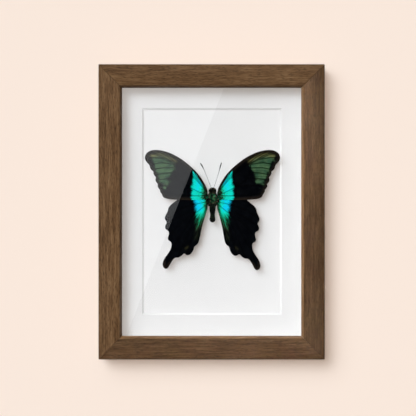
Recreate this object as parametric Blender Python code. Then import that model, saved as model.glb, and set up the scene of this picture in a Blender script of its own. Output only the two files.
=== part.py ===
"""A swallowtail butterfly specimen in a deep wooden box frame, upright, with its front towards -Y.

The origin is the middle of the frame's base. Sizes below are millimetres; finish() turns each mesh to
metres. A rail and all that is fixed to it are drawn as for the bottom rail, with x along the rail, y its
depth and z inwards from the outer edge, and are turned about +Y onto their own side of the frame.
"""

import math

import bmesh
import bpy
from mathutils import Matrix, Vector

MM = 0.001

# The frame, outside
FRAME_W = 159.8
FRAME_H = 208.5
FRAME_D = 38.0

# The rail's section
FACE_W = 14.95  # flat front face
SLOPE_W = 1.5  # sloped sight lip inside the face
SLOPE_D = 3.6
LIP_D = 5.0  # front face to the rabbet's shelf
LIP_W = 3.0  # how far the lip reaches over the glass
ROUND_R = 0.9  # outer front edge
BACK_CHAMFER = 0.5
MITRE_GAP = 0.05  # each rail's share of the glue line

# What the rabbet holds, front to back
PANEL_W = 131.3
PANEL_H = 180.0
GLASS_T = 2.0
SPACER_D = 18.1
SPACER_W = 1.5  # hidden behind the lip
MAT_T = 1.4
BOARD_T = 3.0
BACKING_T = 2.5
GAP = 0.3  # between pieces that touch

# The mat's window, at the mat's front face, which is cut a little right of and above the middle
WINDOW_W = 100.4
WINDOW_H = 148.3
WINDOW_X = 0.25
WINDOW_Z = 0.25

# Steel fixings
POINT_W = 9.0
POINT_L = 17.6
POINT_T = 0.6
POINT_BITE = 3.6  # how deep a point is driven into the wood
POINT_SPREAD = 48.0  # from the middle of a long rail
V_LEG = 5.0
V_T = 0.5
V_DEEP = 7.0
V_INSET = 4.2  # from the frame's outer edges
HANGER_W = 34.0
HANGER_H = 11.0
HANGER_T = 0.8
HANGER_BRIDGE_W = 18.0
HANGER_RISE = 2.4
HANGER_TOP = 34.0  # below the frame's top edge
TOOTH_W = 2.0
TOOTH_H = 1.4
RIVET_R = 1.2
RIVET_HEAD_R = 2.2
RIVET_HEAD_T = 0.7

# The specimen
BODY_X = 0.65  # body axis beside the frame's middle
BODY_Z = 112.7  # wing joint line above the frame's base
BODY_Y = -4.8  # wing joint plane, about half way between the glass and the board
WING_T = 0.4
FOREWING_Y = BODY_Y - 0.2
HINDWING_Y = BODY_Y + 0.55
LEFT_SPLAY = 1.8  # degrees that the left hindwing is spread wider than the right
ANTENNA_R = 0.2
CLUB_R = 0.34
PAD_W = 4.0
PAD_H = 6.4
OUTLINE_STEPS = 3  # straight stretches between two outline points
BODY_SIDES = 16

# Levels worked out from the sizes above
FRONT = -FRAME_D / 2
RAIL_W = FACE_W + SLOPE_W
RABBET_W = RAIL_W - LIP_W
GLASS_Y = FRONT + LIP_D + GAP
SPACER_Y = GLASS_Y + GLASS_T + GAP
MAT_Y = SPACER_Y + SPACER_D + GAP
BOARD_Y = MAT_Y + MAT_T + GAP
BACKING_Y = BOARD_Y + BOARD_T + GAP
POINT_Y = BACKING_Y + BACKING_T + GAP

# Right forewing, from its root along the front edge, the scalloped outer edge and the straight inner edge,
# as (x from the body axis, z from the wing joint line)
FOREWING = [
    (3.9, 7.6), (5.3, 10.9), (8.9, 16.8), (14.1, 22.6), (21.3, 28.5), (27.0, 31.9), (32.6, 34.3),
    (38.3, 35.5), (42.8, 35.4), (45.8, 34.2), (47.5, 32.4), (48.1, 30.2), (47.8, 28.5), (46.7, 26.7),
    (44.9, 24.8), (44.4, 22.9), (43.6, 21.5), (42.1, 20.2), (42.0, 18.7), (41.3, 17.3), (40.3, 16.1),
    (40.6, 14.4), (40.2, 12.9), (38.9, 11.3), (39.1, 9.8), (38.4, 8.3), (37.3, 7.1), (37.3, 5.9),
    (36.1, 4.2), (35.5, 2.7), (34.4, 1.6), (32.2, 0.8), (29.2, 0.4), (24.3, 0.1), (16.0, -0.1), (9.0, 0.2),
    (4.6, 0.6), (3.5, 1.6), (3.4, 3.8), (3.5, 6.0),
]
# Right hindwing, from its root along the edge hidden by the forewing, down the scalloped edge to the tail
# and back up the inner edge
HINDWING = [
    (3.3, -0.8), (7.0, 2.2), (12.6, 4.4), (18.7, 4.2), (23.0, 1.4), (25.2, -0.6), (26.8, -2.0), (28.6, -3.4),
    (30.4, -5.2), (31.3, -7.0), (31.7, -9.0), (32.6, -11.0), (33.5, -13.1), (33.4, -14.7), (32.5, -16.0),
    (32.2, -17.1), (32.8, -18.7), (33.2, -20.3), (32.6, -21.8), (30.9, -22.9), (30.3, -24.3), (30.5, -26.3),
    (31.0, -28.2), (30.4, -29.6), (28.7, -30.8), (28.2, -32.2), (28.4, -34.3), (29.0, -36.5), (30.6, -39.2),
    (32.2, -41.5), (33.5, -43.9), (34.1, -46.3), (33.8, -48.3), (32.7, -49.7), (31.2, -49.9), (29.9, -48.8),
    (28.4, -46.0), (26.7, -43.2), (25.0, -41.8), (23.0, -41.7), (20.8, -40.3), (19.0, -38.7), (17.0, -39.8),
    (14.5, -39.0), (12.6, -36.2), (11.9, -33.6), (10.2, -32.1), (9.0, -30.2), (8.1, -26.1), (7.1, -20.3),
    (5.75, -14.6), (4.35, -9.3), (3.4, -6.2), (3.3, -3.6),
]
# Head, thorax and abdomen, from the head down, as (z, half width, half depth)
BODY_RINGS = [
    (7.9, 1.3, 1.1), (7.2, 2.3, 1.7), (6.2, 2.6, 1.9), (5.3, 2.2, 1.7), (4.7, 1.9, 1.7), (4.0, 2.5, 2.4),
    (2.5, 3.0, 3.0), (0.5, 3.0, 3.1), (-1.5, 2.9, 2.9), (-3.3, 2.4, 2.3), (-4.3, 1.9, 1.9),
    (-6.5, 1.75, 1.8), (-8.5, 1.45, 1.5), (-10.5, 1.25, 1.35), (-12.2, 1.5, 1.5), (-13.8, 1.65, 1.6),
    (-15.0, 1.15, 1.2),
]
BODY_TIPS = (8.3, -15.6)
# Antennae, from the head up
ANTENNAE = {
    "right": [(1.0, 8.35), (2.1, 13.0), (3.8, 19.0), (5.05, 22.7), (6.5, 26.7)],
    "left": [(-1.0, 8.35), (-2.2, 13.5), (-3.7, 17.8), (-5.7, 22.2), (-8.3, 26.1)],
}

# How far each side is turned about +Y from the bottom rail, and that side's length
SIDES = {
    "bottom": (0, FRAME_W),
    "left": (90, FRAME_H),
    "top": (180, FRAME_W),
    "right": (-90, FRAME_H),
}


def material(name, colour, roughness, metallic=0.0, transmission=0.0):
    """A plain Principled material; colour is linear RGB."""
    made = bpy.data.materials.new(name)
    made.use_nodes = True
    shader = made.node_tree.nodes["Principled BSDF"]
    shader.inputs["Base Color"].default_value = (*colour, 1.0)
    shader.inputs["Roughness"].default_value = roughness
    shader.inputs["Metallic"].default_value = metallic
    shader.inputs["Transmission Weight"].default_value = transmission
    return made


def finish(bm, name, look, place=None, smooth=False):
    """Turns a millimetre bmesh into an object in metres, with its faces pointing out."""
    bmesh.ops.recalc_face_normals(bm, faces=bm.faces)
    bmesh.ops.scale(bm, vec=(MM, MM, MM), verts=bm.verts)
    mesh = bpy.data.meshes.new(name)
    bm.to_mesh(mesh)
    bm.free()
    if smooth:
        mesh.shade_smooth()
        mesh.set_sharp_from_angle(angle=math.radians(40))
    mesh.materials.append(look)
    piece = bpy.data.objects.new(name, mesh)
    if place is not None:
        piece.matrix_world = place
    bpy.context.collection.objects.link(piece)
    return piece


def add_slab(bm, outline, y0, y1):
    """Adds the solid between y0 and y1 whose face is this outline of (x, z) points."""
    face = bm.faces.new([bm.verts.new((x, y0, z)) for x, z in outline])
    grown = bmesh.ops.extrude_face_region(bm, geom=[face])
    moved = [v for v in grown["geom"] if isinstance(v, bmesh.types.BMVert)]
    bmesh.ops.translate(bm, vec=(0, y1 - y0, 0), verts=moved)


def slab(name, look, outline, y0, y1, place=None):
    """A piece that is one slab."""
    bm = bmesh.new()
    add_slab(bm, outline, y0, y1)
    return finish(bm, name, look, place)


def rectangle(width, height, z_mid):
    """Corners of a rectangle centred on x 0."""
    x, z = width / 2, height / 2
    return [(-x, z_mid - z), (x, z_mid - z), (x, z_mid + z), (-x, z_mid + z)]


def smooth_outline(points, steps):
    """Points on a closed smooth curve through the given ones (Catmull-Rom)."""
    count = len(points)
    out = []
    for i in range(count):
        a, b, c, d = (Vector(points[(i + k - 1) % count]) for k in range(4))
        square = 2 * a - 5 * b + 4 * c - d
        cube = 3 * b - a - 3 * c + d
        for j in range(steps):
            t = j / steps
            out.append(0.5 * (2 * b + (c - a) * t + square * t**2 + cube * t**3))
    return out


def smooth_path(points, steps):
    """Points on an open smooth curve through the given ones (Catmull-Rom)."""
    ends = [2 * Vector(points[0]) - Vector(points[1]), 2 * Vector(points[-1]) - Vector(points[-2])]
    padded = [ends[0]] + [Vector(p) for p in points] + [ends[1]]
    inner = smooth_outline(padded, steps)[steps : steps * len(points)]
    return inner + [Vector(points[-1])]


def cut(piece, cutter):
    """Takes the cutter's shape out of the piece, with a live Boolean."""
    cutter.hide_render = True
    cutter.display_type = "WIRE"
    boolean = piece.modifiers.new("cut", "BOOLEAN")
    boolean.operation = "DIFFERENCE"
    boolean.solver = "EXACT"
    boolean.object = cutter


def side_place(side):
    """Turns a piece drawn on the bottom rail onto another side of the frame."""
    angle, _length = SIDES[side]
    half = FRAME_W / 2 if side in ("left", "right") else FRAME_H / 2
    middle = Matrix.Translation((0, 0, FRAME_H / 2 * MM))
    return middle @ Matrix.Rotation(math.radians(angle), 4, "Y") @ Matrix.Translation((0, 0, -half * MM))


def rail_section():
    """The rail's section, as (inwards from the outer edge, back from the front face)."""
    arc = [math.radians(a) for a in (0, 30, 60, 90)]
    round_edge = [(ROUND_R * (1 - math.cos(a)), ROUND_R * (1 - math.sin(a))) for a in arc]
    return round_edge + [
        (FACE_W, 0.0),
        (RAIL_W, SLOPE_D),
        (RAIL_W, LIP_D),
        (RABBET_W, LIP_D),
        (RABBET_W, FRAME_D),
        (BACK_CHAMFER, FRAME_D),
        (0.0, FRAME_D - BACK_CHAMFER),
    ]


def v_outline(length, end, grow=0.0):
    """A V-nail's outline at one end of a side: its apex lies on the mitre and it has a leg in each rail."""
    near = V_INSET - grow
    inner = V_INSET + V_T + grow
    far = V_INSET + V_LEG + grow
    corner = [(near, near), (far, near), (far, inner), (inner, inner), (inner, far), (near, far)]
    return [(end * (length / 2 - a), b) for a, b in corner]


def point_places(side):
    """Where the framer's points sit along a side."""
    return (-POINT_SPREAD, POINT_SPREAD) if side in ("left", "right") else (0.0,)


def make_rail(side, wood):
    """A mitred, rabbeted rail with the slots its points and V-nails are driven into."""
    _angle, length = SIDES[side]
    section = rail_section()
    bm = bmesh.new()
    start = [bm.verts.new((-(length / 2 - u - MITRE_GAP), FRONT + v, u)) for u, v in section]
    grown = bmesh.ops.extrude_face_region(bm, geom=[bm.faces.new(start)])
    for vert in grown["geom"]:
        if isinstance(vert, bmesh.types.BMVert):
            vert.co.x = -vert.co.x
    rail = finish(bm, f"rail_{side}", wood, side_place(side))

    slots = bmesh.new()
    for end in (-1, 1):
        add_slab(slots, v_outline(length, end, GAP), FRONT + FRAME_D - V_DEEP - 2 * GAP, -FRONT + 1.0)
    for x in point_places(side):
        half = POINT_W / 2 + GAP
        low, high = RABBET_W - POINT_BITE - GAP, RABBET_W + 1.0
        outline = [(x - half, low), (x + half, low), (x + half, high), (x - half, high)]
        add_slab(slots, outline, POINT_Y - GAP, POINT_Y + POINT_T + GAP)
    cut(rail, finish(slots, f"slots_{side}", wood, side_place(side)))


def make_fixings(side, steel):
    """This side's framer's points, and the V-nail at the end that it shares with the next side."""
    _angle, length = SIDES[side]
    outline = v_outline(length, 1)
    slab(f"v_nail_{side}", steel, outline, -FRONT - V_DEEP - GAP, -FRONT - GAP, side_place(side))
    for i, x in enumerate(point_places(side)):
        root = RABBET_W - POINT_BITE
        shoulder = RABBET_W - 0.8
        turn = root + POINT_L - POINT_W / 2
        arc = [math.radians(a) for a in range(0, 181, 20)]
        blade = [(x - POINT_W / 2, shoulder), (x - 1.2, root), (x + 1.2, root), (x + POINT_W / 2, shoulder)]
        blade += [(x + POINT_W / 2 * math.cos(a), turn + POINT_W / 2 * math.sin(a)) for a in arc]
        suffix = f"_{i + 1}" if len(point_places(side)) > 1 else ""
        slab(f"frame_point_{side}{suffix}", steel, blade, POINT_Y, POINT_Y + POINT_T, side_place(side))


def make_spacers(card):
    """Four strips round the rabbet, which hold the mat off the glass."""
    back = RABBET_W + GAP
    wall = back + SPACER_W
    for side, (_angle, length) in SIDES.items():
        reach = length / 2 - back if side in ("left", "right") else length / 2 - wall - GAP
        outline = [(-reach, back), (reach, back), (reach, wall), (-reach, wall)]
        slab(f"spacer_{side}", card, outline, SPACER_Y, SPACER_Y + SPACER_D, side_place(side))


def make_mat(card):
    """The window mat; its window is bevelled at 45 degrees, wider in front."""
    middle = FRAME_H / 2
    mat = slab("window_mat", card, rectangle(PANEL_W, PANEL_H, middle), MAT_Y, MAT_Y + MAT_T)
    beyond = 1.0
    bm = bmesh.new()
    rings = []
    for y, grow in ((MAT_Y - beyond, beyond), (MAT_Y + MAT_T + beyond, -MAT_T - beyond)):
        corners = rectangle(WINDOW_W + 2 * grow, WINDOW_H + 2 * grow, middle + WINDOW_Z)
        ring = bm.faces.new([bm.verts.new((x + WINDOW_X, y, z)) for x, z in corners])
        rings.append(ring)
    edges = [e for ring in rings for e in ring.edges]
    bmesh.ops.bridge_loops(bm, edges=edges)
    cut(mat, finish(bm, "window_cut", card))


def tube_at(bm, radius, y0, y1, x, z, sides=16):
    """Adds a closed cylinder along Y to a bmesh."""
    place = Matrix.Translation((x, (y0 + y1) / 2, z)) @ Matrix.Rotation(math.radians(90), 4, "X")
    bmesh.ops.create_cone(
        bm,
        cap_ends=True,
        segments=sides,
        radius1=radius,
        radius2=radius,
        depth=y1 - y0,
        matrix=place,
    )


def make_back(hardboard, steel):
    """The back panel, and the sawtooth hanger riveted to it."""
    middle = FRAME_H / 2
    panel_back = BACKING_Y + BACKING_T
    backing = slab("backing_board", hardboard, rectangle(PANEL_W, PANEL_H, middle), BACKING_Y, panel_back)

    foot_y = panel_back + GAP
    low = FRAME_H - HANGER_TOP - HANGER_H
    bridge, step = HANGER_BRIDGE_W / 2, HANGER_RISE
    half = HANGER_W / 2
    under = [(-half, 0), (-bridge - step, 0), (-bridge, step), (bridge, step), (bridge + step, 0), (half, 0)]
    over = [(x, y + HANGER_T) for x, y in reversed(under)]
    bm = bmesh.new()
    face = bm.faces.new([bm.verts.new((x, foot_y + y, low)) for x, y in under + over])
    grown = bmesh.ops.extrude_face_region(bm, geom=[face])
    moved = [v for v in grown["geom"] if isinstance(v, bmesh.types.BMVert)]
    bmesh.ops.translate(bm, vec=(0, 0, HANGER_H), verts=moved)
    plate = finish(bm, "hanger_plate", steel)

    teeth = bmesh.new()
    count = round(HANGER_BRIDGE_W / TOOTH_W) - 1
    first = -count * TOOTH_W / 2
    zigzag = [(first + i * TOOTH_W / 2, low + (TOOTH_H if i % 2 else -0.1)) for i in range(2 * count + 1)]
    below = [(-first, low - 1.0), (first, low - 1.0)]
    add_slab(teeth, zigzag + below, foot_y - 1.0, foot_y + HANGER_RISE + HANGER_T + 1.0)
    rivet_x = (HANGER_W / 2 + bridge + step) / 2
    rivet_z = low + HANGER_H / 2
    holes = bmesh.new()
    for end in (-1, 1):
        tube_at(holes, RIVET_R + GAP, BACKING_Y - 1.0, foot_y + HANGER_T + 1.0, end * rivet_x, rivet_z)
    cut(plate, finish(teeth, "tooth_cut", steel))
    rivet_holes = finish(holes, "rivet_holes", steel)
    cut(plate, rivet_holes)
    cut(backing, rivet_holes)

    head_y = foot_y + HANGER_T + GAP
    for end, side in ((-1, "left"), (1, "right")):
        profile = [
            (0.0, BACKING_Y + GAP),
            (RIVET_R, BACKING_Y + GAP),
            (RIVET_R, head_y),
            (RIVET_HEAD_R, head_y),
            (RIVET_HEAD_R * 0.8, head_y + RIVET_HEAD_T),
            (0.0, head_y + RIVET_HEAD_T),
        ]
        bm = bmesh.new()
        verts = [bm.verts.new((r, y, 0)) for r, y in profile]
        edges = [bm.edges.new(pair) for pair in zip(verts, verts[1:])]
        bmesh.ops.spin(
            bm, geom=verts + edges, cent=(0, 0, 0), axis=(0, 1, 0), angle=math.tau, steps=16, use_merge=True
        )
        bmesh.ops.remove_doubles(bm, verts=bm.verts, dist=0.001)
        bmesh.ops.translate(bm, vec=(end * rivet_x, 0, rivet_z), verts=bm.verts)
        finish(bm, f"hanger_rivet_{side}", steel)


def make_wing(name, scales, points, mirror, y, splay=0.0):
    """One wing; splay turns it about its root, outwards at the tail."""
    turn = Matrix.Rotation(math.radians(splay), 2)
    root = Vector(points[0])
    curve = [root + turn @ (point - root) for point in smooth_outline(points, OUTLINE_STEPS)]
    outline = [(BODY_X + mirror * x, BODY_Z + z) for x, z in curve]
    slab(name, scales, outline, y - WING_T / 2, y + WING_T / 2)


def make_body(fur):
    """Head, thorax and abdomen in one, as they grew."""
    bm = bmesh.new()
    turns = [i * math.tau / BODY_SIDES for i in range(BODY_SIDES)]
    rings = []
    for z, wide, deep in BODY_RINGS:
        spots = [(BODY_X + wide * math.cos(a), BODY_Y + deep * math.sin(a), BODY_Z + z) for a in turns]
        verts = [bm.verts.new(spot) for spot in spots]
        rings.append([bm.edges.new((verts[i - 1], verts[i])) for i in range(BODY_SIDES)])
    for upper, lower in zip(rings, rings[1:]):
        bmesh.ops.bridge_loops(bm, edges=upper + lower)
    for ring, z in zip((rings[0], rings[-1]), BODY_TIPS):
        tip = bm.verts.new((BODY_X, BODY_Y, BODY_Z + z))
        for edge in ring:
            bm.faces.new([*edge.verts, tip])
    finish(bm, "butterfly_body", fur, smooth=True)


def make_antennae(chitin):
    """Two fine feelers that widen into clubs."""
    for side, route in ANTENNAE.items():
        path = smooth_path(route, 3)
        curve = bpy.data.curves.new(f"antenna_{side}", "CURVE")
        curve.dimensions = "3D"
        curve.bevel_depth = ANTENNA_R * MM
        curve.bevel_resolution = 1
        curve.use_fill_caps = True
        spline = curve.splines.new("POLY")
        spline.points.add(len(path) - 1)
        for i, (x, z) in enumerate(path):
            spline.points[i].co = ((BODY_X + x) * MM, BODY_Y * MM, (BODY_Z + z) * MM, 1.0)
            in_club = len(path) - 3 <= i < len(path) - 1
            spline.points[i].radius = CLUB_R / ANTENNA_R if in_club else 1.0
        curve.materials.append(chitin)
        bpy.context.collection.objects.link(bpy.data.objects.new(f"antenna_{side}", curve))


for old in list(bpy.data.objects):
    bpy.data.objects.remove(old, do_unlink=True)

walnut = material("stained_wood", (0.10, 0.055, 0.028), 0.55)
white_card = material("white_card", (0.86, 0.86, 0.85), 0.9)
hardboard_brown = material("hardboard", (0.22, 0.12, 0.06), 0.8)
zinc_steel = material("zinc_steel", (0.60, 0.60, 0.60), 0.35, metallic=1.0)
clear_glass = material("clear_glass", (1.0, 1.0, 1.0), 0.02, transmission=1.0)
wing_scales = material("wing_scales", (0.004, 0.02, 0.022), 0.7)
body_fur = material("body_fur", (0.008, 0.02, 0.012), 0.9)

for frame_side in SIDES:
    make_rail(frame_side, walnut)
    make_fixings(frame_side, zinc_steel)
panel = rectangle(PANEL_W, PANEL_H, FRAME_H / 2)
slab("glass_pane", clear_glass, panel, GLASS_Y, GLASS_Y + GLASS_T)
make_spacers(white_card)
make_mat(white_card)
slab("mounting_board", white_card, panel, BOARD_Y, BOARD_Y + BOARD_T)
make_back(hardboard_brown, zinc_steel)
make_wing("forewing_right", wing_scales, FOREWING, 1, FOREWING_Y)
make_wing("forewing_left", wing_scales, FOREWING, -1, FOREWING_Y)
make_wing("hindwing_right", wing_scales, HINDWING, 1, HINDWING_Y)
make_wing("hindwing_left", wing_scales, HINDWING, -1, HINDWING_Y, LEFT_SPLAY)
make_body(body_fur)
make_antennae(body_fur)
pad = [(BODY_X + x, z) for x, z in rectangle(PAD_W, PAD_H, BODY_Z)]
pad_front = BODY_Y + max(deep for _z, _wide, deep in BODY_RINGS) + GAP
slab("specimen_pad", white_card, pad, pad_front, BOARD_Y - GAP)
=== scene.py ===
"""A framed swallowtail butterfly specimen, hung on a pale wall, made up piece by piece over its CAD parts."""

import math
import random

import bmesh
import bpy
from mathutils import Matrix, Vector


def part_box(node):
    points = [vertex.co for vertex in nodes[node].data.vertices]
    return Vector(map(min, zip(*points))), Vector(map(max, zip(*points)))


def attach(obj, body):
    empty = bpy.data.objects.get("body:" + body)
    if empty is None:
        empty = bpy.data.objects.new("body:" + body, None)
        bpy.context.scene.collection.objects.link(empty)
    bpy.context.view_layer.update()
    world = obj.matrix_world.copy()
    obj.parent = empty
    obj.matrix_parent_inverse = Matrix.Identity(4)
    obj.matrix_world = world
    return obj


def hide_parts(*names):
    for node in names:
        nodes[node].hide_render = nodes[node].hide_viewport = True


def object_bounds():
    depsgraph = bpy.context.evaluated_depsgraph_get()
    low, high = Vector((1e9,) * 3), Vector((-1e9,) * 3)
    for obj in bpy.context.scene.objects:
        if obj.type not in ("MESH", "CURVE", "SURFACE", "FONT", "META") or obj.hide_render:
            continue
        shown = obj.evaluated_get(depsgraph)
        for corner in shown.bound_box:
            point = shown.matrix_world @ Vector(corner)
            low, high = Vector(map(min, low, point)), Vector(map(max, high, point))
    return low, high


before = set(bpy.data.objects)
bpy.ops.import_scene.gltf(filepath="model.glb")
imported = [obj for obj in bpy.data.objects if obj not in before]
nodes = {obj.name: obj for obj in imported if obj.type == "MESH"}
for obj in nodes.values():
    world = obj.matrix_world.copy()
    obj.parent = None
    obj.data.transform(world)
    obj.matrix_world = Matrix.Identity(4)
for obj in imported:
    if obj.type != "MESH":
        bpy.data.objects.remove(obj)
cad_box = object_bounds()
scene = bpy.context.scene

# ---- The room ----
# A plain warm wall with a pale floor well below, and a long lens straight in front. The light is one large
# soft source high on the left, a warm fill at the lens that reaches into the frame, and two lights behind.

WALL = "#F9E8DB"
FRONT_Y = cad_box[0].y
BACK_Y = cad_box[1].y
MIDDLE = Vector((0.0, 0.0, (cad_box[0].z + cad_box[1].z) / 2))
LENS_DISTANCE = 1.6  # camera to the frame's front
LENS_MM = 196.1
WALL_GAP = 0.0002
FLOOR_Z = -0.3
SHIFT_X, SHIFT_Z = -0.00255, 0.00272  # camera axis from the frame's middle


def linear(hex_colour):
    """An sRGB hex colour as linear RGBA."""
    parts = [int(hex_colour[i : i + 2], 16) / 255 for i in (1, 3, 5)]
    return (*[c / 12.92 if c <= 0.04045 else ((c + 0.055) / 1.055) ** 2.4 for c in parts], 1.0)


def add(tree, kind, inputs=None, stops=None, **settings):
    """Adds a node. inputs holds values, or outputs to link, by socket; stops are a ramp's (place, colour)."""
    node = tree.nodes.new("ShaderNode" + kind)
    for key, value in settings.items():
        setattr(node, key, value)
    if stops:
        ramp = node.color_ramp.elements
        for end, (place, colour) in ((0, stops[0]), (1, stops[-1])):
            ramp[end].position, ramp[end].color = place, colour
        for place, colour in stops[1:-1]:
            ramp.new(place).color = colour
    for key, value in (inputs or {}).items():
        if isinstance(value, bpy.types.NodeSocket):
            tree.links.new(value, node.inputs[key])
        else:
            node.inputs[key].default_value = value
    return node


def begin(name):
    """A new material, with its node tree and Principled shader."""
    made = bpy.data.materials.new(name)
    made.use_nodes = True
    return made, made.node_tree, made.node_tree.nodes["Principled BSDF"]


def mix(tree, factor, a, b, blend="MIX"):
    """The colour output of a new mix of two colours."""
    inputs = {"Factor": factor, "A": a, "B": b}
    return add(tree, "Mix", inputs, data_type="RGBA", blend_type=blend).outputs["Result"]


def place_mesh(bm, name, look):
    """Turns a bmesh into an object at the origin."""
    mesh = bpy.data.meshes.new(name)
    bm.to_mesh(mesh)
    bm.free()
    mesh.materials.append(look)
    made = bpy.data.objects.new(name, mesh)
    scene.collection.objects.link(made)
    return made


def dress(node, look):
    """Gives a CAD piece its material and returns the piece."""
    nodes[node].data.materials.clear()
    nodes[node].data.materials.append(look)
    return nodes[node]


def lamp(name, kind, level, towards, colour="#FFFFFF", place=(0, 0, 0)):
    """A light shining from the direction `towards`."""
    light = bpy.data.lights.new(name, kind)
    light.energy = level
    light.color = linear(colour)[:3]
    made = bpy.data.objects.new(name, light)
    made.rotation_mode = "QUATERNION"
    made.rotation_quaternion = Vector(towards).to_track_quat("Z", "Y")
    made.location = place
    scene.collection.objects.link(made)
    return made


scene.view_settings.view_transform = "Standard"

camera = bpy.data.objects.new("camera", bpy.data.cameras.new("camera"))
camera.data.sensor_width = 36.0
camera.data.lens = LENS_MM
camera.location = (SHIFT_X, FRONT_Y - LENS_DISTANCE, MIDDLE.z + SHIFT_Z)
camera.rotation_euler = (math.radians(90), 0, 0)
scene.collection.objects.link(camera)
scene.camera = camera

plaster, tree, shader = begin("matt_wall_paint")
shader.inputs["Base Color"].default_value = linear(WALL)
shader.inputs["Roughness"].default_value = 1.0
shader.inputs["Specular IOR Level"].default_value = 0.0
behind = add(tree, "NewGeometry").outputs["Backfacing"]
clear = add(tree, "BsdfTransparent").outputs[0]
one_sided = add(tree, "MixShader", {0: behind, 1: shader.outputs[0], 2: clear})
tree.links.new(one_sided.outputs[0], tree.nodes["Material Output"].inputs["Surface"])

bm = bmesh.new()
standing = Matrix.Rotation(math.radians(90), 4, "X")
wall_place = Matrix.Translation((0, BACK_Y + WALL_GAP, MIDDLE.z)) @ standing
bmesh.ops.create_grid(bm, x_segments=1, y_segments=1, size=1.4, matrix=wall_place)
wall = place_mesh(bm, "wall", plaster)
bm = bmesh.new()
bmesh.ops.create_grid(bm, x_segments=1, y_segments=1, size=4.0, matrix=Matrix.Translation((0, 0, FLOOR_Z)))
floor = place_mesh(bm, "floor", plaster)
for plain in (wall, floor):
    plain.visible_shadow = False
    plain.visible_diffuse = False
    plain.visible_glossy = False
    plain.visible_transmission = False

world = bpy.data.worlds.new("room")
scene.world = world
world.use_nodes = True
tree = world.node_tree
rays = add(tree, "LightPath").outputs
seen = add(tree, "Background", {"Color": linear("#F9E7DB"), "Strength": 1.0}).outputs[0]
glossy = add(tree, "Background", {"Color": linear("#FFFFFF"), "Strength": 0.008}).outputs[0]
ambient = add(tree, "Background", {"Color": linear("#FFF6EE"), "Strength": 0.035}).outputs[0]
soft = add(tree, "MixShader", {0: rays["Is Glossy Ray"], 1: ambient, 2: glossy}).outputs[0]
sky = add(tree, "MixShader", {0: rays["Is Camera Ray"], 1: soft, 2: seen}).outputs[0]
tree.links.new(sky, tree.nodes["World Output"].inputs["Surface"])

# The key light in three nested parts, as (name, level on the board, slant left and up, half width, both as
# tangents). The pane doesn't mirror these parts or the fill, and the gleam shows in reflections only.
front_lights = []
for name, level, slant, half_width in (
    ("key_softbox", 0.31, 0.27, 0.30),
    ("key_core", 0.23, 0.22, 0.14),
    ("key_inner", 0.13, 0.12, 0.12),
):
    key = lamp(name, "SUN", level * math.pi * math.hypot(1, slant, slant), (-slant, -1, slant), "#EFF8FF")
    key.data.angle = 2 * math.atan(half_width)
    front_lights.append(key)
FILL = 0.42
fill_power = FILL * (2 * math.pi * LENS_DISTANCE) ** 2
front_lights.append(lamp("fill_by_the_lens", "POINT", fill_power, (0, -1, 0), "#FFF1E6", camera.location))
front_lights[-1].data.shadow_soft_size = 0.04
for front_light in front_lights:
    front_light.visible_glossy = False
    front_light.visible_transmission = False
gleam = lamp("gleam", "SUN", 0.8, (-0.5, -0.6, 0.62))
gleam.data.angle = math.radians(20)
gleam.visible_diffuse = False
for name, towards in (("back_right", (0.5, 0.8, 0.3)), ("back_left", (-0.6, 0.7, 0.45))):
    back_light = lamp(name, "SUN", 2.8, towards, "#FFF8F0")
    back_light.data.angle = math.radians(25)

# ---- Frame rails ----
# Four solid walnut rails, mitred and glued, with a sloped sight lip in front and a rabbet behind. They were
# planed, sanded and stained dark, then given a thin satin varnish; edges were eased with fine paper.

EASED = 0.00025
GRAIN_MM = 0.95  # streak spacing across the grain
PORE_MM = 0.45  # real pores are about 0.2 mm; drawn coarser so that they show
RAILS = {"top": 1.12, "left": 1.15, "bottom": 0.79, "right": 0.71}  # each rail's brightness: painted light on the top and left rails, painted shade on the bottom and right


def workshop_copy(node, name, eased, look):
    """A copy of a CAD piece with whole faces, its edges eased."""
    bm = bmesh.new()
    bm.from_mesh(nodes[node].data)
    bmesh.ops.remove_doubles(bm, verts=bm.verts, dist=1e-6)
    bmesh.ops.dissolve_limit(bm, angle_limit=math.radians(1), verts=bm.verts, edges=bm.edges)
    made = place_mesh(bm, name, look)
    made.data.shade_smooth()
    made.data.set_sharp_from_angle(angle=math.radians(35))
    bevel = made.modifiers.new("eased_edges", "BEVEL")
    bevel.width = eased
    bevel.segments = 2
    bevel.limit_method = "ANGLE"
    bevel.angle_limit = math.radians(35)
    bevel.harden_normals = True
    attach(made, "root")
    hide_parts(node)
    return made


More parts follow.
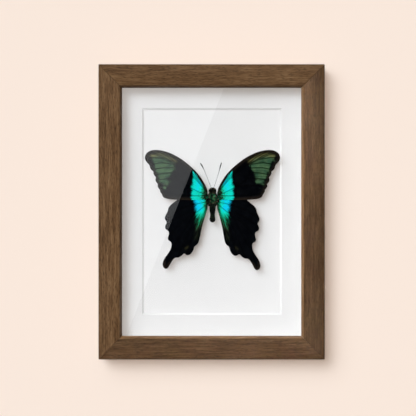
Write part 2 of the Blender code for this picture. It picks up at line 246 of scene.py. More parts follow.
def walnut(name, upright, offset, painted_light_level):
    """Stained walnut whose grain runs along X, or along Z on an upright."""
    made, tree, shader = begin(name)
    place = add(tree, "TexCoord").outputs["Object"]
    turned = (0, math.radians(90) if upright else 0, 0)
    inputs = {"Vector": place, "Location": offset, "Rotation": turned, "Scale": (1000, 1000, 1000)}
    board = add(tree, "Mapping", inputs).outputs[0]
    fields = []
    for along, across, detail, rough in (
        (70.0, 8.0, 3.0, 0.55),
        (15.0, GRAIN_MM, 4.0, 0.65),
        (3.2, PORE_MM, 2.0, 0.5),
    ):
        stretched = add(tree, "Mapping", {"Vector": board, "Scale": (1 / along, 1 / across, 1 / across)})
        inputs = {"Vector": stretched.outputs[0], "Scale": 1.0, "Detail": detail, "Roughness": rough}
        fields.append(add(tree, "TexNoise", inputs).outputs["Fac"])
    figure, streak, pore = fields
    mixed = add(tree, "Math", {0: figure, 1: 0.3, 2: streak}, operation="MULTIPLY_ADD").outputs[0]
    stops = [
        (0.34, linear("#3A2918")),
        (0.54, linear("#543C26")),
        (0.68, linear("#654B32")),
        (0.84, linear("#775C40")),
        (0.98, linear("#896C4E")),
    ]
    stain = add(tree, "ValToRGB", {"Fac": mixed}, stops=stops)
    pits = add(tree, "MapRange", {0: pore, 1: 0.30, 2: 0.48, 3: 0.42, 4: 1.03}).outputs[0]
    pored = mix(tree, 1.0, stain.outputs[0], pits, "MULTIPLY")
    # Scaling by the rail's level paints light and shade: lighter on the top and left rails, darker on the
    # bottom and right, as the light falls from the upper left
    side_shaded = mix(tree, 1.0, pored, (painted_light_level, painted_light_level, painted_light_level, 1.0), "MULTIPLY")
    tree.links.new(side_shaded, shader.inputs["Base Color"])
    dull = add(tree, "MapRange", {0: streak, 1: 0.3, 2: 0.7, 3: 0.62, 4: 0.48}).outputs[0]
    tree.links.new(dull, shader.inputs["Roughness"])
    relief = add(tree, "Math", {0: pits, 1: 0.35, 2: streak}, operation="MULTIPLY_ADD").outputs[0]
    bump = add(tree, "Bump", {"Height": relief, "Strength": 0.35, "Distance": 0.0002})
    tree.links.new(bump.outputs[0], shader.inputs["Normal"])
    shader.inputs["Specular IOR Level"].default_value = 0.35
    return made


rails = {}
for i, (side, painted_light_level) in enumerate(RAILS.items()):
    offset = (37.0 * i, 11.0 * i, 23.0 * i)
    stained = walnut(f"stained_walnut_{side}", side in ("left", "right"), offset, painted_light_level)
    rails[side] = workshop_copy(f"rail_{side}", f"walnut_rail_{side}", EASED, stained)

# ---- V-nails ----
# Zinc-plated spring-steel V-nails pressed into the back of each mitre while the glue set.

zinc, tree, shader = begin("zinc_plated_steel")
place = add(tree, "TexCoord").outputs["Object"]
rolled = add(tree, "Mapping", {"Vector": place, "Scale": (300, 300, 4000)})
lines = add(tree, "TexNoise", {"Vector": rolled.outputs[0], "Scale": 1.0, "Detail": 3.0}).outputs["Fac"]
spangle = add(tree, "TexNoise", {"Vector": place, "Scale": 900.0, "Detail": 2.0}).outputs["Fac"]
shade = add(tree, "Math", {0: lines, 1: 0.4, 2: spangle}, operation="MULTIPLY_ADD").outputs[0]
grey = add(tree, "ValToRGB", {"Fac": shade}, stops=[(0.4, linear("#8F9092")), (1.0, linear("#C9CBCE"))])
tree.links.new(grey.outputs[0], shader.inputs["Base Color"])
dull = add(tree, "MapRange", {0: spangle, 1: 0.3, 2: 0.7, 3: 0.3, 4: 0.48}).outputs[0]
tree.links.new(dull, shader.inputs["Roughness"])
bump = add(tree, "Bump", {"Height": lines, "Strength": 0.2, "Distance": 0.00005})
tree.links.new(bump.outputs[0], shader.inputs["Normal"])
shader.inputs["Metallic"].default_value = 1.0
for side in RAILS:
    dress(f"v_nail_{side}", zinc)

# ---- Glass ----
# One pane of 2 mm clear float glass, cut to the rabbet. It throws no shadow, so that the light gets in as it
# does through real glass, and a bright card behind the camera gives the slanting sheen across its upper left.

float_glass, tree, shader = begin("clear_float_glass")
shader.inputs["Base Color"].default_value = (1.0, 1.0, 1.0, 1.0)
shader.inputs["Roughness"].default_value = 0.0
shader.inputs["IOR"].default_value = 1.5
shader.inputs["Transmission Weight"].default_value = 1.0
pane = dress("glass_pane", float_glass)
pane.visible_shadow = False

card_look, tree, shader = begin("lit_white_card")
glow = add(tree, "Emission", {"Color": linear("#FAFCFF"), "Strength": 0.70}).outputs[0]
tree.links.new(glow, tree.nodes["Material Output"].inputs["Surface"])
# Corners of the sheen on the pane, from the frame's middle
SHEEN = [(-0.080, 0.100), (0.0135, 0.100), (-0.0652, -0.100), (-0.080, -0.100)]
CARD_DISTANCE = 1.9  # pane to card
reach = 1 + CARD_DISTANCE / (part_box("glass_pane")[0].y - camera.location.y)
bm = bmesh.new()
corners = []
for x, z in SHEEN:
    spot_x = SHIFT_X + (x - SHIFT_X) * reach
    spot_z = MIDDLE.z + SHIFT_Z + (z - SHIFT_Z) * reach
    corners.append(bm.verts.new((spot_x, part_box("glass_pane")[0].y - CARD_DISTANCE, spot_z)))
bm.faces.new(corners)
card = place_mesh(bm, "sheen_card", card_look)
card.visible_camera = False
card.visible_diffuse = False
card.visible_shadow = False

# ---- Spacers and window mat ----
# White foam-board strips stand round the rabbet behind the glass. The mat behind them is 1.4 mm conservation
# board, solid white through, its window cut with a 45 degree blade so that the white core shows as a bevel.

PAPER_MM = 0.5  # paper fibres clump at about this size
BEVEL_SHINE = 0.010


def white_board(name, colour, level):
    """Smooth paper-faced white board."""
    made, tree, shader = begin(name)
    place = add(tree, "TexCoord").outputs["Object"]
    fibre = add(tree, "TexNoise", {"Vector": place, "Scale": 1000 / PAPER_MM, "Detail": 3.0}).outputs["Fac"]
    cloud = add(tree, "TexNoise", {"Vector": place, "Scale": 45.0, "Detail": 2.0}).outputs["Fac"]
    both = add(tree, "Math", {0: fibre, 1: 0.5, 2: cloud}, operation="MULTIPLY_ADD").outputs[0]
    low = (*[c * level for c in linear(colour)[:3]], 1.0)
    tint = add(tree, "ValToRGB", {"Fac": both}, stops=[(0.3, low), (0.9, linear(colour))])
    tree.links.new(tint.outputs[0], shader.inputs["Base Color"])
    bump = add(tree, "Bump", {"Height": fibre, "Strength": 0.15, "Distance": 0.00003})
    tree.links.new(bump.outputs[0], shader.inputs["Normal"])
    shader.inputs["Roughness"].default_value = 0.9
    shader.inputs["Specular IOR Level"].default_value = 0.2
    return made


foam_board = white_board("white_foam_board", "#C9C8C6", 0.96)
mat_board = white_board("conservation_mat_board", "#E6E6E6", 0.98)
for side in RAILS:
    dress(f"spacer_{side}", foam_board)
mat = dress("window_mat", mat_board)

# Strip lights rake across from the left and the top to the lips and mat bevels that face them, each linked to
# one piece only. They stand for light that bounces about inside a real deep frame.
lip_x, lip_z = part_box("rail_left")[1].x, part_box("rail_top")[0].z
mat_low, mat_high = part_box("window_mat")
WINDOW_LEFT = -0.0499  # the edges of the mat's window
WINDOW_TOP = MIDDLE.z + 0.0744
in_lip = FRONT_Y + 0.002
in_mat = (mat_low.y + mat_high.y) / 2 + 0.0003
for name, lit_piece, energy, size, across, place in (
    ("lip_right", rails["right"], 0.74, (0.172, 0.003), True, (lip_x + 0.001, in_lip, MIDDLE.z)),
    ("lip_bottom", rails["bottom"], 0.76, (0.125, 0.003), False, (0, in_lip, lip_z - 0.001)),
    ("bevel_right", mat, BEVEL_SHINE, (0.120, 0.0007), True, (WINDOW_LEFT + 0.002, in_mat, MIDDLE.z)),
    ("bevel_bottom", mat, BEVEL_SHINE, (0.080, 0.0007), False, (0, in_mat, WINDOW_TOP - 0.002)),
):
    strip = lamp(name, "AREA", energy, (0, 0, 1), "#F8F6F2" if "lip" in name else "#FFFFFF", place)
    strip.rotation_mode = "XYZ"
    strip.rotation_euler = (0, math.radians(-90) if across else 0, 0)
    strip.data.shape = "RECTANGLE"
    strip.data.size, strip.data.size_y = size
    strip.data.spread = math.radians(180 if "lip" in name else 50)
    strip.visible_glossy = False
    linked = bpy.data.collections.new(f"{name}_piece")
    linked.objects.link(lit_piece)
    strip.light_linking.receiver_collection = linked

# ---- Mounting board and pad ----
# The specimen's ground is a 3 mm white board behind the mat; a small stack of the same card, glued under the
# thorax, holds the butterfly well off it so that it throws a soft shadow.

ground_board = white_board("paper_faced_mounting_board", "#E8E8E8", 0.985)
for name in ("mounting_board", "specimen_pad"):
    dress(name, ground_board)

# ---- Wings ----
# Dry membrane a tenth of a millimetre thick, stiffened by tubular veins and covered in tiny scales: velvety
# black, a blue-green band by interference colour at the bases, and sparse green dusting near the tips.

MM = 0.001
GRID_MM = 2.0
MEMBRANE_MM = 0.12
VEIN_RISE_MM = 0.16  # how far a vein stands proud of the membrane
CUTS = 5  # the grid is cut this much finer, to a third of a millimetre
GROW = 1.0105  # the specimen's size over its tables'
body_low, body_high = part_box("butterfly_body")
BODY_X = (body_low.x + body_high.x) / 2 / MM
BODY_Z = body_high.z / MM - 8.3
BODY_Y = (body_low.y + body_high.y) / 2 / MM

# Patterns and veins in millimetres, as (x outwards from the body, z above the wing joint)
FORE_BAND = [
    (13.7, 20.2), (13.6, 16.5), (13.8, 13.0), (13.7, 10.8), (15.8, 9.3), (14.4, 8.0), (14.0, 6.6),
    (14.8, 4.4), (14.5, 3.2), (15.1, 2.0), (14.6, 1.0), (14.2, -1.5), (2.0, -1.5), (2.0, 3.0), (5.4, 7.2),
    (7.3, 10.4), (10.2, 15.0), (12.3, 18.2),
]
HIND_BAND = [
    (1.5, 1.0), (12.2, 1.0), (12.4, -1.6), (11.5, -3.2), (11.7, -5.6), (11.0, -8.4), (10.5, -11.0),
    (10.4, -14.5), (10.4, -18.5), (11.0, -24.0), (10.6, -29.0), (7.2, -28.0), (5.0, -20.0), (3.0, -11.0),
    (1.5, -6.4),
]
LEAVES = [
    [(26.4, 26.4), (31.0, 29.8), (36.6, 31.6), (42.4, 31.2), (42.6, 27.4), (40.6, 23.2), (39.0, 19.0),
     (37.6, 15.6), (37.0, 12.8), (35.2, 10.6), (31.6, 10.8), (30.2, 12.6), (31.4, 14.4), (29.4, 16.6),
     (28.6, 19.6), (26.8, 21.6), (26.2, 24.4)],
    [(32.9, 8.7), (34.0, 8.7), (34.1, 7.9), (33.0, 7.9)],
]
OLIVE = [(26.0, 27.2), (30.4, 29.8), (34.6, 31.4), (39.0, 31.8), (42.6, 31.0)]
HIND_MARGIN = [(3.0, -0.8), (3.2, -6.2), (4.3, -9.3), (5.7, -14.6), (7.0, -20.3), (8.0, -26.1), (8.9, -30.2)]
LUNULES = [[(16.2, -33.4), (17.8, -34.6)], [(12.8, -39.2), (13.6, -40.4)]]
FORE_VEINS = [
    [(3.6, 5.5), (14.0, 18.5), (26.0, 29.3), (30.0, 32.0)],
    [(3.6, 5.0), (12.0, 14.8), (22.0, 23.2), (27.0, 26.0)],
    [(14.0, 17.0), (27.0, 29.2), (34.0, 33.4)],
    [(19.0, 21.0), (31.0, 30.2), (38.5, 34.2)],
    [(27.0, 26.0), (36.0, 31.3), (43.0, 34.0)],
    [(33.0, 28.6), (40.0, 32.0), (45.8, 33.0)],
    [(33.0, 28.6), (41.0, 29.9), (47.3, 30.0)],
    [(27.0, 26.0), (33.0, 28.6)],
    [(27.3, 25.2), (36.0, 26.3), (45.2, 24.5)],
    [(26.8, 22.5), (35.0, 22.8), (43.4, 21.0)],
    [(25.5, 19.3), (33.0, 19.0), (41.7, 17.5)],
    [(23.0, 16.0), (31.0, 15.2), (40.2, 14.0)],
    [(16.5, 9.6), (27.0, 10.2), (38.6, 10.1)],
    [(3.6, 3.2), (7.5, 4.7), (14.0, 7.8), (20.0, 11.5), (25.0, 15.5), (26.8, 22.5), (27.0, 26.0)],
    [(3.6, 3.0), (14.0, 2.9), (26.0, 3.3), (36.2, 4.8)],
]
HIND_VEINS = [
    [(4.0, 0.0), (14.0, 2.0), (24.0, -1.5), (31.0, -8.0)],
    [(4.0, -1.5), (14.0, -3.5), (24.0, -7.5), (33.2, -13.4)],
    [(16.0, -9.0), (25.0, -13.5), (32.9, -19.0)],
    [(17.0, -13.0), (25.0, -20.0), (30.8, -27.2)],
    [(16.0, -16.0), (22.0, -27.0), (28.0, -37.0), (31.5, -48.5)],
    [(13.5, -17.5), (18.5, -29.0), (23.5, -41.2)],
    [(13.0, -10.5), (10.5, -14.0), (14.0, -27.0), (16.8, -39.0)],
    [(4.0, -3.2), (8.0, -6.5), (13.0, -10.5), (16.0, -14.5)],
    [(4.0, -4.5), (8.5, -17.0), (10.8, -31.0)],
]

# What each point of a wing carries for its material
PATTERN = ("band", "hue", "leaf", "olive", "vein", "rim", "ray", "reach")


def away(x, z, line):
    """Distance from a point to a line of points."""
    best = 1e9
    for (ax, az), (bx, bz) in zip(line, line[1:]):
        dx, dz = bx - ax, bz - az
        t = max(0.0, min(1.0, ((x - ax) * dx + (z - az) * dz) / (dx * dx + dz * dz)))
        best = min(best, math.hypot(x - ax - t * dx, z - az - t * dz))
    return best


def inside(x, z, outline):
    """Distance to an outline, positive inside it."""
    ring = outline + outline[:1]
    within = False
    for (ax, az), (bx, bz) in zip(ring, ring[1:]):
        if (az > z) != (bz > z) and x < (bx - ax) * (z - az) / (bz - az) + ax:
            within = not within
    return away(x, z, ring) * (1 if within else -1)


def ease(low, high, value):
    """Smooth step from 0 at low to 1 at high."""
    t = max(0.0, min(1.0, (value - low) / (high - low)))
    return t * t * (3 - 2 * t)


def bloom(fore, x, z):
    """Where a spot lies on the band's run of colour, from black through green and turquoise to sky blue."""
    if fore:
        level = 0.14 + 0.58 * ease(4.8, 9.4, x + 0.10 * (z - 3))
        return level + 0.17 * math.exp(-(((x - 9.6) / 2.6) ** 2) - ((z - 11.0) / 4.2) ** 2)
    high = ease(-12.0, -3.0, z)
    level = 0.20 + 0.42 * ease(0.9 * high - 0.7, 1.9 + 2.0 * high, away(x, z, HIND_MARGIN))
    level += 0.34 * ease(-11.0, -6.0, z) * ease(4.6, 8.5, x)
    return level - 0.58 * (1 - ease(-24.5, -6.5, z))


def wing_surface(node, name, fore, mirror, splay, look):
    """A thin wing cut from the CAD wing's front outline, with raised veins and its pattern's attributes."""
    low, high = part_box(node)
    bm = bmesh.new()
    bm.from_mesh(nodes[node].data)
    bmesh.ops.remove_doubles(bm, verts=bm.verts, dist=1e-6)
    rear = [v for v in bm.verts if v.co.y > low.y + 1e-5]
    bmesh.ops.delete(bm, geom=rear, context="VERTS")
    bmesh.ops.dissolve_faces(bm, faces=bm.faces)
    turn = Matrix.Rotation(math.radians(-splay), 2)
    root = Vector((3.3, -0.8))

    def pattern_place(point):
        flat = Vector((mirror * (point.x / MM - BODY_X), point.z / MM - BODY_Z))
        return tuple((root + turn @ (flat - root)) / GROW)

    bm.faces.ensure_lookup_table()
    rim = [pattern_place(v.co) for v in bm.faces[0].verts]
    rim.append(rim[0])
    for axis in (0, 2):
        across = Vector([float(axis == 0), 0.0, float(axis == 2)])
        for i in range(1, math.ceil((high[axis] - low[axis]) / MM / GRID_MM)):
            spot = low + across * i * GRID_MM * MM
            everything = bm.verts[:] + bm.edges[:] + bm.faces[:]
            bmesh.ops.bisect_plane(bm, geom=everything, plane_co=spot, plane_no=across, dist=1e-6)
    bmesh.ops.triangulate(bm, faces=[f for f in bm.faces if len(f.verts) > 4])
    bmesh.ops.subdivide_edges(bm, edges=bm.edges[:], cuts=CUTS, use_grid_fill=True)
    bm.normal_update()
    if sum(f.normal.y for f in bm.faces) > 0:
        bmesh.ops.reverse_faces(bm, faces=bm.faces)

    layers = {n: bm.verts.layers.float.new(n) for n in PATTERN}
    veins = FORE_VEINS if fore else HIND_VEINS
    heart = (2.6, 3.0) if fore else (2.6, 1.5)
    for v in bm.verts:
        x, z = pattern_place(v.co)
        nearest = min(away(x, z, line) for line in veins)
        feather = 0.9 if fore else 1.5 + 0.9 * ease(-9, -14, z)
        v[layers["band"]] = inside(x, z, FORE_BAND if fore else HIND_BAND) / feather
        v[layers["hue"]] = bloom(fore, x, z)
        v[layers["leaf"]] = max(inside(x, z, leaf) for leaf in LEAVES) if fore else -9.0
        if fore:
            v[layers["olive"]] = math.exp(-((away(x, z, OLIVE) / 1.3) ** 2))
        else:
            v[layers["olive"]] = 0.15 * max(math.exp(-((away(x, z, spot) / 0.8) ** 2)) for spot in LUNULES)
        v[layers["vein"]] = nearest
        v[layers["rim"]] = away(x, z, rim) + (0.0 if fore else 2.2 * ease(-46.0, -40.0, z))
        v[layers["ray"]] = math.degrees(math.atan2(z - heart[1], x - heart[0]))
        v[layers["reach"]] = math.hypot(x - heart[0], z - heart[1])
        v.co.y += VEIN_RISE_MM * MM * ease(0.1, 1.4, nearest)
    made = place_mesh(bm, name, look)
    made.data.shade_smooth()
    membrane = made.modifiers.new("membrane", "SOLIDIFY")
    membrane.thickness = MEMBRANE_MM * MM
    membrane.offset = -1.0
    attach(made, "root")
    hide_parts(node)
    return made


scales, tree, shader = begin("wing_scales_on_membrane")
value = {n: add(tree, "Attribute", attribute_name=n).outputs["Fac"] for n in PATTERN}
place = add(tree, "TexCoord").outputs["Object"]
polar_x = add(tree, "Math", {0: value["ray"], 1: 0.42}, operation="MULTIPLY").outputs[0]
polar_y = add(tree, "Math", {0: value["reach"], 1: 0.16}, operation="MULTIPLY").outputs[0]
polar = add(tree, "CombineXYZ", {0: polar_x, 1: polar_y}).outputs[0]
fan = {"Vector": polar, "Scale": 1.0, "Detail": 3.0, "Roughness": 0.6}
streak = add(tree, "TexNoise", fan).outputs["Fac"]
# Single scales are 0.1 mm; they are drawn at 0.25 mm so that they show as a fine dusting
dust = add(tree, "TexNoise", {"Vector": place, "Scale": 4000.0, "Detail": 2.0}).outputs["Fac"]
cloud = add(tree, "TexNoise", {"Vector": place, "Scale": 260.0, "Detail": 3.0}).outputs["Fac"]

# The band: feathered along the rays, brightest where the hue runs to blue
ragged = add(tree, "MapRange", {0: streak, 1: 0.3, 2: 0.7, 3: -0.8, 4: 0.8}, clamp=False).outputs[0]
edge = add(tree, "Math", {0: value["band"], 1: ragged}, operation="ADD").outputs[0]
faded = {0: edge, 1: -0.9, 2: 0.9, 3: 0.0, 4: 1.0}
band = add(tree, "MapRange", faded, interpolation_type="SMOOTHSTEP").outputs[0]
near = add(tree, "MapRange", {0: value["reach"], 1: 2.0, 2: 9.0, 3: 0.5, 4: 0.17}).outputs[0]
centred = add(tree, "MapRange", {0: streak, 1: 0.3, 2: 0.7, 3: -1.0, 4: 1.0}, clamp=False).outputs[0]
lean = add(tree, "Math", {0: centred, 1: near}, operation="MULTIPLY").outputs[0]
fleck = add(tree, "TexNoise", {"Vector": place, "Scale": 800.0, "Detail": 3.0}).outputs["Fac"]
flecked = add(tree, "MapRange", {0: fleck, 1: 0.48, 2: 0.60, 3: 0.0, 4: -0.45}).outputs[0]
rooted = add(tree, "MapRange", {0: value["reach"], 1: 3.0, 2: 9.5, 3: 1.0, 4: 0.0}).outputs[0]
leaning = add(tree, "Math", {0: flecked, 1: rooted, 2: lean}, operation="MULTIPLY_ADD").outputs[0]
hue = add(tree, "Math", {0: value["hue"], 1: leaning}, operation="ADD").outputs[0]
colours = [
    (0.0, linear("#040706")),
    (0.10, linear("#1E2118")),
    (0.20, linear("#243824")),
    (0.29, linear("#1F5637")),
    (0.36, linear("#177B55")),
    (0.50, linear("#12AC84")),
    (0.64, linear("#0FCDAE")),
    (0.80, linear("#0BDCD2")),
    (0.92, linear("#0AD0E8")),
    (1.0, linear("#0CC3F0")),
]
turquoise = add(tree, "ValToRGB", {"Fac": hue}, stops=colours).outputs[0]
brown = add(tree, "MapRange", {0: value["rim"], 1: 2.6, 2: 0.4, 3: 0.0, 4: 0.85}).outputs[0]
black = add(tree, "ValToRGB", {"Fac": cloud}, stops=[(0.35, linear("#010205")), (0.75, linear("#06080B"))])
ground = mix(tree, brown, black.outputs[0], linear("#241D17"))
on_band = mix(tree, band, ground, turquoise)

# The green dusting near the tip lies in cells between dark veins and folds
folds = add(tree, "Mapping", {"Vector": place, "Scale": (60, 60, 900)})
fold = add(tree, "TexNoise", {"Vector": folds.outputs[0], "Scale": 1.0, "Detail": 2.0}).outputs["Fac"]
fold_dark = add(tree, "MapRange", {0: fold, 1: 0.38, 2: 0.52, 3: 0.66, 4: 1.0}).outputs[0]
worn = add(tree, "MapRange", {0: cloud, 1: 0.3, 2: 0.7, 3: -1.2, 4: 1.2}, clamp=False).outputs[0]
leaf_edge = add(tree, "Math", {0: value["leaf"], 1: worn}, operation="ADD").outputs[0]
faded = {0: leaf_edge, 1: -0.9, 2: 1.2, 3: 0.0, 4: 1.0}
leaf = add(tree, "MapRange", faded, interpolation_type="SMOOTHSTEP").outputs[0]
cells = add(tree, "MapRange", {0: value["vein"], 1: 0.15, 2: 0.7, 3: 0.45, 4: 1.0}).outputs[0]
leaf_dark = add(tree, "Math", {0: fold_dark, 1: cells}, operation="MULTIPLY").outputs[0]
leaf_all = add(tree, "Math", {0: leaf, 1: leaf_dark}, operation="MULTIPLY").outputs[0]
green = add(tree, "ValToRGB", {"Fac": cloud}, stops=[(0.3, linear("#30503A")), (0.7, linear("#4A6846"))])
on_leaf = mix(tree, leaf_all, on_band, green.outputs[0])
olive_dark = add(tree, "Math", {0: value["olive"], 1: leaf_dark}, operation="MULTIPLY").outputs[0]
olive_half = add(tree, "Math", {0: olive_dark, 1: 0.8}, operation="MULTIPLY").outputs[0]
on_olive = mix(tree, olive_half, on_leaf, linear("#6E6B41"))

# Veins are dark tubes across the band, and scales glitter a little
line = add(tree, "MapRange", {0: value["vein"], 1: 0.10, 2: 0.55, 3: 0.38, 4: 1.0}).outputs[0]
sparkle = add(tree, "MapRange", {0: dust, 1: 0.3, 2: 0.7, 3: 0.82, 4: 1.18}).outputs[0]
shade = add(tree, "Math", {0: line, 1: sparkle}, operation="MULTIPLY").outputs[0]
tree.links.new(mix(tree, 1.0, on_olive, shade, "MULTIPLY"), shader.inputs["Base Color"])
bump = add(tree, "Bump", {"Height": dust, "Strength": 0.25, "Distance": 0.00005})
tree.links.new(bump.outputs[0], shader.inputs["Normal"])
shader.inputs["Roughness"].default_value = 0.75
shader.inputs["Specular IOR Level"].default_value = 0.02

for node, fore, mirror, splay in (
    ("hindwing_right", False, 1, 0.0),
    ("hindwing_left", False, -1, 1.8),
    ("forewing_right", True, 1, 0.0),
    ("forewing_left", True, -1, 0.0),
):
    wing_surface(node, f"scaled_{node}", fore, mirror, splay, scales)

# ---- Body ----
# Head, thorax and abdomen, dried hard under dense fur: black, with green iridescent hairs on the thorax and
# head, and a painted highlight: a bright green spot on the middle of the thorax. The round eyes are bare and
# glossy.

FUR_SEED = 7
ABDOMEN_TOP = -4.0  # millimetres from the wing joint
THORAX_TOP = 4.5


def tufts(bm, faces, pull, length, seed):
    """Draws each face out into a bent pointed tuft."""
    chance = random.Random(seed)
    for share, narrow in ((0.5, 0.62), (0.5, 0.06)):
        grown = bmesh.ops.extrude_discrete_faces(bm, faces=faces)
        faces = grown["faces"]
        for face in faces:
            middle = face.calc_center_median()
            way = (face.normal + pull(middle)).normalized()
            step = way * length(middle) * share * chance.uniform(0.6, 1.25)
            for v in face.verts:
                v.co = middle + (v.co - middle) * narrow + step


hide, tree, shader = begin("body_fur")
place = add(tree, "TexCoord").outputs["Object"]
joint = (-BODY_X, -BODY_Y, -BODY_Z)
centred = add(tree, "Mapping", {"Vector": place, "Location": joint, "Scale": (1000, 1000, 1000)})
fine = add(tree, "TexNoise", {"Vector": centred.outputs[0], "Scale": 0.8, "Detail": 3.0}).outputs["Fac"]
parts = add(tree, "SeparateXYZ", {0: centred.outputs[0]}).outputs
height = add(tree, "MapRange", {0: parts[2], 1: -16.0, 2: 9.0, 3: 0.0, 4: 1.0}).outputs[0]
# Colour by height: the fur's own dark green, and a brightest stop near the top of the thorax that is a
# painted highlight
zones = [
    (0.0, linear("#0A0D0B")),
    (0.22, linear("#16261B")),
    (0.50, linear("#12301F")),
    (0.62, linear("#1D7A4A")),
    (0.74, linear("#2ACB86")),
    (0.84, linear("#12281B")),
    (1.0, linear("#0B0E0C")),
]
zone = add(tree, "ValToRGB", {"Fac": height}, stops=zones).outputs[0]
patchy = add(tree, "MapRange", {0: fine, 1: 0.50, 2: 0.57, 3: 0.0, 4: 1.0}).outputs[0]
sideways = add(tree, "Math", {0: parts[0]}, operation="ABSOLUTE").outputs[0]
# Keeps the green, and with it the painted highlight, to the middle of the body
middle_only = add(tree, "MapRange", {0: sideways, 1: 0.6, 2: 2.2, 3: 1.0, 4: 0.22}).outputs[0]
green_and_painted_highlight = add(tree, "Math", {0: patchy, 1: middle_only}, operation="MULTIPLY").outputs[0]
dark_green = mix(tree, green_and_painted_highlight, linear("#06080A"), zone)
specks = add(tree, "TexNoise", {"Vector": centred.outputs[0], "Scale": 0.7, "Detail": 3.0}).outputs["Fac"]
bronzed = add(tree, "MapRange", {0: specks, 1: 0.55, 2: 0.61, 3: 0.0, 4: 0.9}).outputs[0]
upper = add(tree, "MapRange", {0: parts[2], 1: -6.0, 2: -2.0, 3: 0.1, 4: 1.0}).outputs[0]
bronze = add(tree, "Math", {0: bronzed, 1: upper}, operation="MULTIPLY").outputs[0]
tree.links.new(mix(tree, bronze, dark_green, linear("#5E5846")), shader.inputs["Base Color"])
shader.inputs["Roughness"].default_value = 0.65
shader.inputs["Specular IOR Level"].default_value = 0.12

bm = bmesh.new()
bm.from_mesh(nodes["butterfly_body"].data)
bmesh.ops.remove_doubles(bm, verts=bm.verts, dist=1e-6)
bmesh.ops.subdivide_edges(bm, edges=bm.edges[:], cuts=2, use_grid_fill=True, smooth=0.6)
bmesh.ops.triangulate(bm, faces=[f for f in bm.faces if len(f.verts) > 4])
for v in bm.verts:
    height_mm = v.co.z / MM - BODY_Z
    middle = Vector((BODY_X * MM, BODY_Y * MM, v.co.z))
    if height_mm < ABDOMEN_TOP:
        # Eight rings of plates along the abdomen
        ring = 0.5 + 0.5 * math.cos((height_mm - ABDOMEN_TOP) / 1.45 * math.tau)
        v.co = middle + (v.co - middle) * (1.2 - 0.09 * ring)
    else:
        v.co = middle + (v.co - middle) * (1.02 - 0.10 * ease(1.5, 6.0, height_mm))


def fur_pull(spot):
    """Fur lies backwards, more so on the abdomen."""
    height_mm = spot.z / MM - BODY_Z
    return Vector((0, 0, -1.9 if height_mm < ABDOMEN_TOP else (-0.9 if height_mm < THORAX_TOP else 0.7)))


def fur_length(spot):
    """Long on the thorax, short on the abdomen."""
    height_mm = spot.z / MM - BODY_Z
    return (0.45 if height_mm < ABDOMEN_TOP else (1.05 if height_mm < THORAX_TOP else 0.7)) * MM


# The hairy flaps over the wing joints
for side in (-1, 1):
    for x, z, wide, tall in ((2.2, 3.2, 0.9, 1.8), (3.5, -0.2, 0.8, 1.0)):
        spot = Matrix.Translation(Vector((BODY_X + side * x, BODY_Y - 0.6, BODY_Z + z)) * MM)
        lean_in = Matrix.Rotation(math.radians(-side * 14), 4, "Y")
        shape = Matrix.Diagonal((wide, 0.9, tall, 1.0))
        bmesh.ops.create_icosphere(bm, subdivisions=3, radius=MM, matrix=spot @ lean_in @ shape)
bm.normal_update()
tufts(bm, bm.faces[:], fur_pull, fur_length, FUR_SEED)
fur = place_mesh(bm, "furred_body", hide)
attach(fur, "root")
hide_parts("butterfly_body")

eye_look, tree, shader = begin("dried_compound_eye")
place = add(tree, "TexCoord").outputs["Object"]
facets = add(tree, "TexVoronoi", {"Vector": place, "Scale": 9000.0}).outputs["Distance"]
tint = add(tree, "ValToRGB", {"Fac": facets}, stops=[(0.0, linear("#1B130E")), (0.8, linear("#0A0706"))])
tree.links.new(tint.outputs[0], shader.inputs["Base Color"])
bump = add(tree, "Bump", {"Height": facets, "Strength": 0.2, "Distance": 0.00003})
tree.links.new(bump.outputs[0], shader.inputs["Normal"])
shader.inputs["Roughness"].default_value = 0.18
bm = bmesh.new()
for side in (-1, 1):
    spot = Matrix.Translation(Vector((BODY_X + side * 1.75, BODY_Y - 0.3, BODY_Z + 6.1)) * MM)
    shape = Matrix.Diagonal((0.8, 1.0, 1.05, 1.0))
    bmesh.ops.create_icosphere(bm, subdivisions=3, radius=0.95 * MM, matrix=spot @ shape)
eyes = place_mesh(bm, "eyes", eye_look)
eyes.data.shade_smooth()
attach(eyes, "root")

# ---- Antennae ----
# Two thin jointed black feelers from between the eyes, each ending in a slightly bent club.

FEELERS = {
    "right": [(0.6, 7.6), (2.3, 12.6), (4.0, 18.0), (5.0, 21.6), (5.7, 24.2), (6.4, 26.6)],
    "left": [(-0.6, 7.6), (-2.8, 13.4), (-4.9, 18.8), (-6.5, 22.6), (-7.6, 24.6), (-8.6, 26.2)],
}
FEELER_RADII = [0.12, 0.10, 0.09, 0.16, 0.50, 0.26]

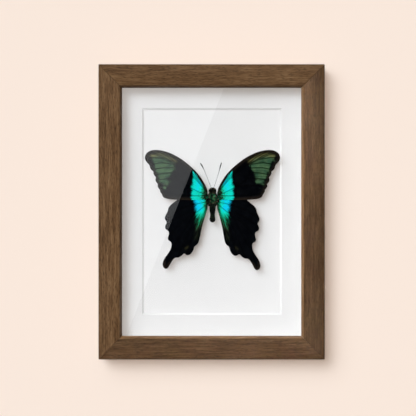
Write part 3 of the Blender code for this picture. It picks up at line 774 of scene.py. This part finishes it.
chitin, tree, shader = begin("black_chitin")
place = add(tree, "TexCoord").outputs["Object"]
rings = add(tree, "TexWave", {"Vector": place, "Scale": 700.0}, bands_direction="Z").outputs["Fac"]
tint = add(tree, "ValToRGB", {"Fac": rings}, stops=[(0.2, linear("#0B0A0A")), (0.9, linear("#241E1B"))])
tree.links.new(tint.outputs[0], shader.inputs["Base Color"])
shader.inputs["Roughness"].default_value = 0.4
for side, route in FEELERS.items():
    curve = bpy.data.curves.new(f"feeler_{side}_line", "CURVE")
    curve.dimensions = "3D"
    curve.bevel_depth = MM
    curve.bevel_resolution = 3
    curve.resolution_u = 8
    curve.use_fill_caps = True
    spline = curve.splines.new("NURBS")
    spline.points.add(len(route) - 1)
    spline.order_u = 3
    spline.use_endpoint_u = True
    for point, (x, z), radius in zip(spline.points, route, FEELER_RADII):
        point.co = ((BODY_X + x) * MM, BODY_Y * MM, (BODY_Z + z) * MM, 1.0)
        point.radius = radius
    shape = bpy.data.objects.new("feeler_line", curve)
    scene.collection.objects.link(shape)
    ready = bpy.context.evaluated_depsgraph_get()
    mesh = bpy.data.meshes.new_from_object(shape.evaluated_get(ready))
    bpy.data.objects.remove(shape)
    mesh.materials.clear()
    mesh.materials.append(chitin)
    mesh.shade_smooth()
    feeler = bpy.data.objects.new(f"feeler_{side}", mesh)
    scene.collection.objects.link(feeler)
    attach(feeler, "root")
    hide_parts(f"antenna_{side}")

# ---- Back panel ----
# 2.5 mm hardboard pressed from brown wood fibre, its smooth side out, cut to drop into the rabbet.

hardboard, tree, shader = begin("pressed_hardboard")
place = add(tree, "TexCoord").outputs["Object"]
pressed = {"Vector": place, "Scale": 900.0, "Detail": 5.0, "Roughness": 0.7}
fibre = add(tree, "TexNoise", pressed).outputs["Fac"]
mottle = add(tree, "TexNoise", {"Vector": place, "Scale": 70.0, "Detail": 3.0}).outputs["Fac"]
both = add(tree, "Math", {0: mottle, 1: 0.6, 2: fibre}, operation="MULTIPLY_ADD").outputs[0]
stops = [(0.5, linear("#664831")), (0.8, linear("#785538")), (1.0, linear("#866445"))]
tint = add(tree, "ValToRGB", {"Fac": both}, stops=stops)
tree.links.new(tint.outputs[0], shader.inputs["Base Color"])
dull = add(tree, "MapRange", {0: mottle, 1: 0.3, 2: 0.7, 3: 0.5, 4: 0.7}).outputs[0]
tree.links.new(dull, shader.inputs["Roughness"])
bump = add(tree, "Bump", {"Height": fibre, "Strength": 0.2, "Distance": 0.00008})
tree.links.new(bump.outputs[0], shader.inputs["Normal"])
dress("backing_board", hardboard)

# ---- Framer's points and hanger ----
# Flat steel points fired into the rabbet hold the panel in. The sawtooth hanger is pressed from strip steel
# and riveted through the panel; both are zinc plated.

PRESSED_EASE = 0.00012
RIVET_EASE = 0.00015
for name in ("top", "bottom", "left_1", "left_2", "right_1", "right_2"):
    point = workshop_copy(f"frame_point_{name}", f"steel_point_{name}", PRESSED_EASE, zinc)
plate = workshop_copy("hanger_plate", "sawtooth_hanger", PRESSED_EASE, zinc)
for side in ("left", "right"):
    rivet = workshop_copy(f"hanger_rivet_{side}", f"steel_rivet_{side}", RIVET_EASE, zinc)
